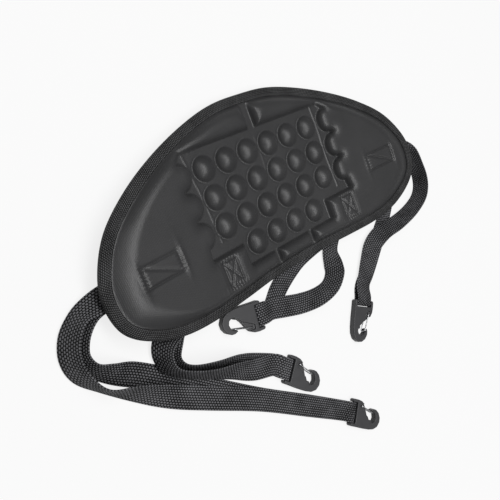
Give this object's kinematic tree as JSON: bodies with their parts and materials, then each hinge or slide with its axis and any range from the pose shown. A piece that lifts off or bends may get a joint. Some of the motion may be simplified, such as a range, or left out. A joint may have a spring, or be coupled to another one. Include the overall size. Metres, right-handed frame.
{
  "type": "kayak seat backrest",
  "caption": "Moulded foam kayak backrest with domed face, bound edge, webbing straps and plastic snap hooks with wire gates, lying on its back.",
  "frame": {"origin": "middle of the rear face of the webbing across the back, on the floor that the seat lies on", "axes": "+X along the panel, +Y towards its top edge, +Z out of the moulded face"},
  "size_m": [0.5555, 0.4569, 0.0338],
  "materials": {
    "face_fabric": "stretch knit laminated on moulded foam",
    "backing": "coarse plain weave",
    "binding_tape": "ribbed woven tape",
    "webbing": "woven polypropylene webbing",
    "hook_plastic": "moulded, satin",
    "gate_wire": "drawn stainless wire",
    "thread": "polyester thread"
  },
  "bodies": {
    "root": {"front_panel": "face_fabric", "back_panel": "backing", "edge_binding": "binding_tape", "back_band": "webbing", "strap_left_end": "webbing", "strap_left_lower": "webbing", "strap_right_lower": "webbing", "strap_right_end": "webbing", "hook_left_end": "hook_plastic", "hook_left_lower": "hook_plastic", "hook_right_lower": "hook_plastic", "hook_right_end": "hook_plastic", "stitching_left_end": "thread", "stitching_left_lower": "thread", "stitching_right_lower": "thread", "stitching_right_end": "thread"},
    "left_end_gate": {"gate_left_end": "gate_wire"},
    "left_lower_gate": {"gate_left_lower": "gate_wire"},
    "right_lower_gate": {"gate_right_lower": "gate_wire"},
    "right_end_gate": {"gate_right_end": "gate_wire"}
  },
  "joints": [
    {"name": "left_end_gate_hinge", "type": "hinge", "parent": "root", "child": "left_end_gate", "pos_m": [0.01383, -0.28302, 0.004], "axis": [0, 0, -1], "range_deg": [0, 20], "stiffness_Nm_per_rad": 0.05, "springref_deg": -5.73},
    {"name": "left_lower_gate_hinge", "type": "hinge", "parent": "root", "child": "left_lower_gate", "pos_m": [-0.0533, -0.17976, 0.004], "axis": [0, 0, -1], "range_deg": [0, 20], "stiffness_Nm_per_rad": 0.05, "springref_deg": -5.73},
    {"name": "right_lower_gate_hinge", "type": "hinge", "parent": "root", "child": "right_lower_gate", "pos_m": [-0.09403, -0.1079, 0.004], "axis": [0, 0, -1], "range_deg": [0, 20], "stiffness_Nm_per_rad": 0.05, "springref_deg": -5.73},
    {"name": "right_end_gate_hinge", "type": "hinge", "parent": "root", "child": "right_end_gate", "pos_m": [0.08033, -0.1838, 0.004], "axis": [0, 0, -1], "range_deg": [0, 20], "stiffness_Nm_per_rad": 0.05, "springref_deg": -5.73}
  ]
}
